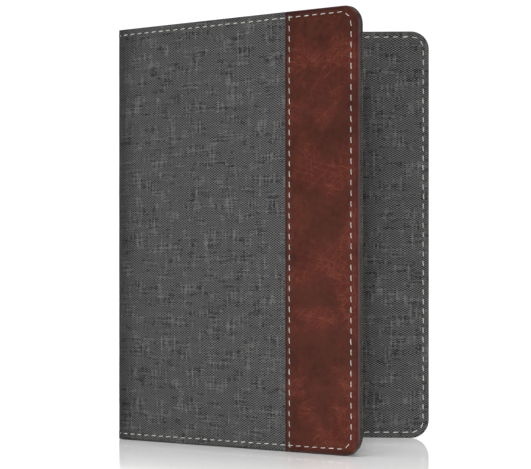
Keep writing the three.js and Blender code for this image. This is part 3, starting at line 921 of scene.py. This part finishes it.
class ThreadRun:
    """All the stitches of one seam as one mesh, each a short slanted length of twisted thread."""

    STEPS, SIDES = 13, 10
    RADIUS = 0.27 * MM
    SINK = 0.42 * MM  # the ends go down into the needle holes

    def __init__(self, path, surface, slant, taper=0.0):
        self.path, self.surface, self.slant, self.taper = path, surface, slant, taper
        self.verts, self.faces = [], []

    def stitch(self, run, z, heading, pitch):
        half = STITCH_SHARE * pitch / 2 * rng.uniform(0.94, 1.05)
        heading = heading + self.slant + rng.normal(0, 0.018)
        run, z = run + rng.normal(0, 0.05 * MM), z + rng.normal(0, 0.05 * MM)
        t = np.linspace(-1, 1, self.STEPS)
        along = np.array([math.cos(heading), math.sin(heading)])
        across = np.array([-along[1], along[0]])
        arch = 1 - t**6
        radius = self.RADIUS * rng.uniform(0.93, 1.06) * (1 - self.taper * (t + 1) / 2)
        radius = radius * (0.5 + 0.5 * np.sqrt(np.clip(1 - np.abs(t) ** 5, 0, 1)))
        twist = rng.uniform(0, math.pi)
        centre_run, centre_z = run + along[0] * half * t, z + along[1] * half * t
        lift = 0.55 * self.RADIUS * arch - self.SINK * (1 - arch)
        base = len(self.verts)
        for k in range(self.STEPS):
            section = ply_outline(self.SIDES, twist + 2.2 * t[k]) * radius[k]
            at_run = centre_run[k] + across[0] * section[:, 0]
            at_z = centre_z[k] + across[1] * section[:, 0]
            middle = self.surface(np.array([centre_run[k]]), np.array([centre_z[k]]))[0]
            depth = middle - lift[k] - section[:, 1] * 0.85
            self.verts += list(self.path.place(at_run, at_z, depth))
        for k in range(self.STEPS - 1):
            for side in range(self.SIDES):
                a, b = base + k * self.SIDES + side, base + k * self.SIDES + (side + 1) % self.SIDES
                self.faces.append((a, b, b + self.SIDES, a + self.SIDES))
        last = base + (self.STEPS - 1) * self.SIDES
        self.faces.append(tuple(range(base + self.SIDES - 1, base - 1, -1)))
        self.faces.append(tuple(range(last, last + self.SIDES)))

    def build(self, name, seam):
        for run, z, heading in seam.stitches():
            self.stitch(run, z, heading, seam.pitch)
        made = make_object(name, self.verts, self.faces, material=THREAD)
        face_outwards(made)
        return made


THREAD_LIFT = 0.02 * MM  # the thread stands this much higher on the holder's outer face


def holder_outer_surface(run, z):
    """The depth of whatever the thread lies on, fabric or leather."""
    cloth = cloth_depth("holder_outer")(run, z)
    return np.where(run > STRIP_START, leather_depth(run, z), cloth) - THREAD_LIFT


def strip_surface(run, z):
    return leather_depth(run, z) - THREAD_LIFT


def sew_edge(face, slant):
    def surface(run, z):
        return press[face].depth(run, z) * 0.6 + slack(run, z, face)

    on_strip = face == "holder_outer"
    thread = ThreadRun(PATHS[face], holder_outer_surface if on_strip else surface, slant)
    return thread.build(f"{face}_stitches", seams[face])


holder_outer_seam = sew_edge("holder_outer", 0.07)
holder_inner_seam = sew_edge("holder_inner", -0.07)
screen_outer_seam = sew_edge("screen_outer", -0.07)
screen_inner_seam = sew_edge("screen_inner", 0.07)
strip_thread = ThreadRun(PATHS["holder_outer"], strip_surface, slant=0.09, taper=0.2)
strip_stitches = strip_thread.build("strip_stitches", strip_seam)

# ------------------------------------------------------------------ tray and liner

BAY_CORNER = 8.8 * MM
TRAY_WALL = 1.3 * MM
TRAY_FLOOR = 0.9 * MM
LIP_REACH, LIP_THICKNESS = 1.5 * MM, 0.55 * MM
GRIP_LENGTH, GRIP_RAMP = 30 * MM, 7 * MM
SIDE_RISE = 6 * MM  # the wall between the corner grips, above the tray's underside
PORT_RISE = 2.0 * MM
PORT_SIDE = 1.4 * MM  # how far a cut-out's sides lean out
SPEAKER_LENGTH, SPEAKER_HEIGHT, SPEAKER_RISE = 22 * MM, 2 * MM, 3.9 * MM
SPEAKER_FROM_MIDDLE = 33 * MM
CAP_INSET = 4 * MM
LINER_CORNER = 5 * MM


class Moulding:
    """A closed piece swept round a rounded rectangle in the x-z plane, with flat faces inside the sweep."""

    def __init__(self, low, high, corner, profile_at, marks=()):
        self.low, self.high, self.corner = low, high, corner
        self.profile_at = profile_at
        self.stations = []
        for side in range(4):
            self.side(side, marks)
            self.turn(side)

    def side(self, side, marks):
        axis = side % 2
        start, end = self.low[axis] + self.corner, self.high[axis] - self.corner
        places = graded(start, end, 6 * MM, [m[1:] for m in marks if m[0] == side])[1:-1]
        if side in (2, 3):
            places = places[::-1]
        for at in places:
            if axis == 0:
                edge, out = (self.low[1], (0, -1)) if side == 0 else (self.high[1], (0, 1))
                self.stations.append((at, edge, *out))
            else:
                edge, out = (self.high[0], (1, 0)) if side == 1 else (self.low[0], (-1, 0))
                self.stations.append((edge, at, *out))

    def turn(self, side):
        """The corner after a side."""
        x = self.high[0] - self.corner if side in (0, 1) else self.low[0] + self.corner
        z = self.low[1] + self.corner if side in (0, 3) else self.high[1] - self.corner
        for t in np.linspace(0, 1, 15):
            angle = math.pi / 2 * (side - 1 + t)
            out = (math.cos(angle), math.sin(angle))
            self.stations.append((x + out[0] * self.corner, z + out[1] * self.corner, *out))

    def build(self, name, base, material):
        verts, faces = [], []
        for x, z, out_x, out_z in self.stations:
            profile = self.profile_at(x, z)
            verts += [(x + out_x * o, base + rise, z + out_z * o) for o, rise in profile]
        count, wide = len(self.stations), len(profile)
        for k in range(count):
            here, after = k * wide, (k + 1) % count * wide
            faces += [(here + j, here + j + 1, after + j + 1, after + j) for j in range(wide - 1)]
        faces.append(tuple(k * wide for k in range(count)))
        faces.append(tuple(k * wide + wide - 1 for k in range(count)))
        made = make_object(name, verts, faces, material=material)
        face_outwards(made)
        made.data.set_sharp_from_angle(angle=math.radians(38))
        return made


tray_bay_low = np.array([tray_low.x + TRAY_WALL, tray_low.z + TRAY_WALL])
tray_bay_high = np.array([tray_high.x - TRAY_WALL, tray_high.z - TRAY_WALL])
TRAY_RISE = tray_high.y - tray_low.y
tray_middle = (tray_low.x + tray_high.x) / 2

# each cut-out: the side it is in (0 low, 1 free edge, 2 high, 3 fold), its middle and its width
CUT_OUTS = (
    (2, tray_middle, 26 * MM),
    (0, tray_bay_low[0] + 44 * MM, 16 * MM),
    (0, tray_bay_high[0] - 48 * MM, 20 * MM),
    (1, tray_bay_low[1] + 62 * MM, 42 * MM),
)


def wall_rise(x, z):
    """How high the tray's wall stands: tall grips at the corners, lower sides, and cut-outs."""
    across = min(x - tray_low.x, tray_high.x - x)
    upward = min(z - tray_low.z, tray_high.z - z)
    between = smooth_step(GRIP_LENGTH, GRIP_LENGTH + GRIP_RAMP, max(across, upward))
    rise = TRAY_RISE - (TRAY_RISE - SIDE_RISE) * between
    for side, middle, width in CUT_OUTS:
        edge_gap = (z - tray_low.z, tray_high.x - x, tray_high.z - z, x - tray_low.x)[side]
        if edge_gap > 3 * MM:
            continue
        away = abs((x if side in (0, 2) else z) - middle)
        rise -= (rise - PORT_RISE) * (1 - smooth_step(width / 2, width / 2 + PORT_SIDE, away))
    return float(rise)


def tray_profile(x, z):
    """(offset outwards from the bay, height) round the wall's section, from the floor to the underside."""
    rise = wall_rise(x, z)
    lip = LIP_REACH * (1 - float(smooth_step(0, LIP_THICKNESS, TRAY_RISE - rise)))
    under = rise - LIP_THICKNESS
    foot = TRAY_FLOOR + 0.35 * MM
    inner = [
        (-CAP_INSET, TRAY_FLOOR), (-0.45 * MM, TRAY_FLOOR), (-0.12 * MM, TRAY_FLOOR + 0.06 * MM),
        (0, TRAY_FLOOR + 0.3 * MM), (0, max(under - 0.4 * MM, foot)),
        (0, max(under - 0.05 * MM, foot + 0.05 * MM)),
        (-0.15 * lip, under), (-0.9 * lip, under + 0.02 * MM),
        (-lip, rise - 0.72 * LIP_THICKNESS), (-lip, rise - 0.45 * LIP_THICKNESS),
        (0.06 * MM - lip, rise - 0.15 * LIP_THICKNESS), (0.25 * MM - lip, rise),
    ]
    outer = [
        (0.7 * MM, rise), (1.0 * MM, rise - 0.06 * MM), (1.22 * MM, rise - 0.25 * MM),
        (TRAY_WALL, rise - 0.55 * MM), (TRAY_WALL, 0.5 * rise + 0.2 * MM), (TRAY_WALL, 0.6 * MM),
        (1.2 * MM, 0.22 * MM), (0.95 * MM, 0.03 * MM), (0.6 * MM, 0), (-CAP_INSET, 0),
    ]
    return inner + outer


def tray_marks():
    marks = []
    for side, low, high in ((0, tray_low.x, tray_high.x), (1, tray_low.z, tray_high.z)):
        for at in (low + GRIP_LENGTH + GRIP_RAMP / 2, high - GRIP_LENGTH - GRIP_RAMP / 2):
            marks += [(side, at, GRIP_RAMP / 2, 0.5 * MM), (side + 2, at, GRIP_RAMP / 2, 0.5 * MM)]
    for side, middle, width in CUT_OUTS:
        for at in (middle - width / 2 - PORT_SIDE / 2, middle + width / 2 + PORT_SIDE / 2):
            marks.append((side, at, PORT_SIDE / 2, 0.14 * MM))
    return marks


def slot_cutter(centre_x):
    """A round-ended bar that cuts one speaker slot through the tray's upper wall."""
    radius, reach = SPEAKER_HEIGHT / 2, SPEAKER_LENGTH / 2 - SPEAKER_HEIGHT / 2
    ring = []
    for k in range(32):
        angle = 2 * math.pi * (k + 0.5) / 32
        shift = reach if math.cos(angle) > 0 else -reach
        ring.append((centre_x + shift + radius * math.cos(angle), radius * math.sin(angle)))
    height = tray_low.y + SPEAKER_RISE
    verts = [(x, height + y, z) for z in (tray_bay_high[1] - 0.4 * MM, tray_high.z + MM) for x, y in ring]
    faces = [(k, (k + 1) % 32, 32 + (k + 1) % 32, 32 + k) for k in range(32)]
    faces += [tuple(range(31, -1, -1)), tuple(range(32, 64))]
    return make_object("cutter", verts, faces, smooth=False)


def cut(made, cutter):
    step = made.modifiers.new("slot", "BOOLEAN")
    step.operation, step.solver, step.object = "DIFFERENCE", "EXACT", cutter
    depsgraph = bpy.context.evaluated_depsgraph_get()
    result = bpy.data.meshes.new_from_object(made.evaluated_get(depsgraph))
    made.modifiers.clear()
    made.data = result
    bpy.data.objects.remove(cutter)


tray = Moulding(tray_bay_low, tray_bay_high, BAY_CORNER, tray_profile, tray_marks()).build(
    "tray_moulded", tray_low.y, PLASTIC)
for side in (-1, 1):
    cut(tray, slot_cutter(tray_middle + side * SPEAKER_FROM_MIDDLE))


def liner_profile(x, z):
    top = liner_high.y - liner_low.y
    return [
        (-3 * MM, top), (-1.2 * MM, top), (-0.5 * MM, top - 0.015 * MM), (-0.15 * MM, top - 0.07 * MM),
        (0, top - 0.2 * MM), (-0.03 * MM, 0.02 * MM), (-0.08 * MM, 0), (-3 * MM, 0),
    ]


liner = Moulding(np.array([liner_low.x, liner_low.z]), np.array([liner_high.x, liner_high.z]),
                 LINER_CORNER, liner_profile).build("tray_liner_nap", liner_low.y, NAP)

# ------------------------------------------------------------------ pieces over the folds kept in the frame's axes, the rest carried by the holder's body, and the frame parts they stand for hidden


def over_fold(piece):
    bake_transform(piece)


for piece, cover, path in (
    (holder_fabric, "holder_cover", "holder_outer"),
    (holder_outer_seam, "holder_cover", "holder_outer"),
    (holder_lining, "holder_cover", "holder_inner"),
    (holder_inner_seam, "holder_cover", "holder_inner"),
    (screen_fabric, "screen_cover", "screen_outer"),
    (screen_outer_seam, "screen_cover", "screen_outer"),
    (screen_lining, "screen_cover", "screen_inner"),
    (screen_inner_seam, "screen_cover", "screen_inner"),
):
    over_fold(piece)

for piece in (leather_strip, strip_stitches, tray, liner):
    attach(piece, "holder_cover")

for piece, slot, nodes in (
    (holder_fabric, "outer_fabric", ["holder_fabric"]),
    (screen_fabric, "outer_fabric", ["screen_fabric", "spine_fabric"]),
    (holder_lining, "lining_fabric", ["holder_lining"]),
    (screen_lining, "lining_fabric", ["screen_lining", "spine_lining"]),
    (leather_strip, "leather", ["leather_strip"]),
    (strip_stitches, "thread", ["strip_seam"]),
    (tray, "tray_plastic", ["tray_shell"]),
    (liner, "tray_pad", ["tray_pad"]),
    (holder_outer_seam, "thread", ["holder_outer_seam"]),
    (holder_inner_seam, "thread", ["holder_inner_seam"]),
    (screen_outer_seam, "thread",
     ["screen_outer_seam", "spine_outer_seam_upper", "spine_outer_seam_lower"]),
    (screen_inner_seam, "thread",
     ["screen_inner_seam", "spine_inner_seam_upper", "spine_inner_seam_lower"]),
):
    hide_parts(*nodes)


CARRIED_OVER = {
    "holder_board": BOARD, "screen_board": BOARD, "spine_stiffener": BOARD,
    "holder_magnet_upper": NICKEL, "holder_magnet_lower": NICKEL,
    "screen_magnet_upper": NICKEL, "screen_magnet_lower": NICKEL,
    "tray_tape_upper": TAPE, "tray_tape_lower": TAPE,
}
for node, material in CARRIED_OVER.items():
    cad = bpy.data.objects[node]
    cad.data.materials.clear()
    cad.data.materials.append(material)

# ------------------------------------------------------------------ stage, light, camera

BEARING = math.radians(39.617)  # the camera looks this far round from +Y
CAMERA_AWAY = 1157.25 * MM  # along its line of sight from the origin
CAMERA_ASIDE = 18.119 * MM
CAMERA_HEIGHT = 102.787 * MM
LENS = 132.598
FRAME_SHIFT = 0.073266  # the line of sight stays level, so the covers' edges stay upright


def place_camera():
    data = bpy.data.cameras.new("camera")
    data.sensor_width = 36
    data.lens = LENS
    data.shift_y = FRAME_SHIFT
    data.clip_start = 0.01
    camera = bpy.data.objects.new("camera", data)
    right = Vector((math.cos(BEARING), math.sin(BEARING), 0))
    back = Vector((math.sin(BEARING), -math.cos(BEARING), 0))
    camera.location = right * CAMERA_ASIDE + back * CAMERA_AWAY + Vector((0, 0, CAMERA_HEIGHT))
    camera.rotation_euler = (math.radians(90), 0, BEARING)
    bpy.context.scene.collection.objects.link(camera)
    bpy.context.scene.camera = camera


def make_floor():
    """A pale glossy floor, whose polish fades out in front of the covers' lower edges."""
    g = Graph("pale_floor")
    place = g.position()
    speck = g.noise(place, 300, 2, 0.5)
    reach = g.math("MINIMUM", distance_to_edge(g, place, HOLDER), distance_to_edge(g, place, SCREEN))
    colour = g.mix(g.scaled(speck, 0.3, 0.7), (0.88, 0.88, 0.88), (0.90, 0.90, 0.90))
    polish = g.scaled(reach, 0.0, POLISH_REACH, 1.0, 0.03)
    roughness = g.add(g.scaled(reach, 0.0, POLISH_REACH, 0.035, 0.11), g.times(speck, 0.01))
    material = g.done(colour, roughness, g.bump(speck, 0.003 * MM, 0.1), Specular_IOR_Level=polish)
    side, drop = 6.0, 0.0002
    corners = [(-side, -side, -drop), (side, -side, -drop), (side, side, -drop), (-side, side, -drop)]
    floor = make_object("floor", corners, [(0, 1, 2, 3)], material=material, smooth=False)


def distance_to_edge(g, place, cover):
    """How far a point of the floor is from a cover's lower edge, as nodes."""
    start, heading = (*cover.fold.tolist(), 0.0), (*cover.along.tolist(), 0.0)
    offset = g.vectors("SUBTRACT", place, start)
    run = g.vectors("DOT_PRODUCT", offset, heading, output="Value")
    held = g.math("MINIMUM", g.math("MAXIMUM", run, 0.0), LENGTH)
    along = g.vectors("SCALE", heading, Scale=held)
    return g.vectors("LENGTH", g.vectors("SUBTRACT", offset, along), output="Value")


def light_world():
    """A white backdrop low down behind the case, and a dimmer dome of fill light elsewhere."""
    world = bpy.data.worlds.new("studio")
    world.use_nodes = True
    tree = world.node_tree
    direction = tree.nodes.new("ShaderNodeTexCoord").outputs["Generated"]
    facing = tree.nodes.new("ShaderNodeVectorMath")
    facing.operation = "DOT_PRODUCT"
    facing.inputs[1].default_value = (-math.sin(BEARING), math.cos(BEARING), 0)
    split = tree.nodes.new("ShaderNodeSeparateXYZ")
    tree.links.new(direction, facing.inputs[0])
    tree.links.new(direction, split.inputs[0])
    low = ramp(tree, split.outputs["Z"], math.sin(math.radians(11)), math.sin(math.radians(22)), 1, 0)
    behind = ramp(tree, facing.outputs["Value"], math.cos(math.radians(75)), math.cos(math.radians(50)), 0, 1)
    both = tree.nodes.new("ShaderNodeMath")
    both.operation = "MULTIPLY"
    tree.links.new(low, both.inputs[0])
    tree.links.new(behind, both.inputs[1])
    strength = ramp(tree, both.outputs[0], 0, 1, DOME_FILL, HORIZON_WHITE)
    tree.links.new(strength, tree.nodes["Background"].inputs["Strength"])
    tree.nodes["Background"].inputs["Color"].default_value = (1, 1, 1, 1)
    bpy.context.scene.world = world


def ramp(tree, value, low, high, to_low, to_high):
    made = tree.nodes.new("ShaderNodeMapRange")
    made.interpolation_type = "SMOOTHSTEP"
    for socket, setting in zip(("From Min", "From Max", "To Min", "To Max"), (low, high, to_low, to_high)):
        made.inputs[socket].default_value = setting
    tree.links.new(value, made.inputs["Value"])
    return made.outputs[0]


def aim_light(data, heading, location=(0, 0, 0)):
    light = bpy.data.objects.new(data.name, data)
    light.location = location
    light.rotation_euler = heading.to_track_quat("-Z", "Y").to_euler()
    bpy.context.scene.collection.objects.link(light)


def sun_light(name, comes_from, strength, softness):
    data = bpy.data.lights.new(name, "SUN")
    data.energy = strength
    data.angle = math.radians(softness)
    aim_light(data, -Vector(comes_from))


def panel_light(name, location, target, wide, tall, power):
    data = bpy.data.lights.new(name, "AREA")
    data.energy = power
    data.shape = "RECTANGLE"
    data.size, data.size_y = wide, tall
    aim_light(data, Vector(target) - Vector(location), location)


HORIZON_WHITE = 1.08
DOME_FILL = 0.2
POLISH_REACH = 150 * MM
KEY_BEARING = math.radians(35)
KEY_RISE = math.tan(math.radians(14))
KEY_FROM = (math.sin(KEY_BEARING), -math.cos(KEY_BEARING), KEY_RISE)

place_camera()
make_floor()
light_world()
sun_light("overhead", (0.05, -0.08, 1.0), strength=3.9, softness=40)
sun_light("key", KEY_FROM, strength=2.25, softness=7)
sun_light("from_behind", (-0.25, 1.0, 0.2), strength=2.0, softness=40)
panel_light("low_front", (0.29, -0.335, 0.012), target=(0.05, 0, 0.02), wide=0.12, tall=0.04, power=1.25)
bpy.context.scene.view_settings.view_transform = "Standard"
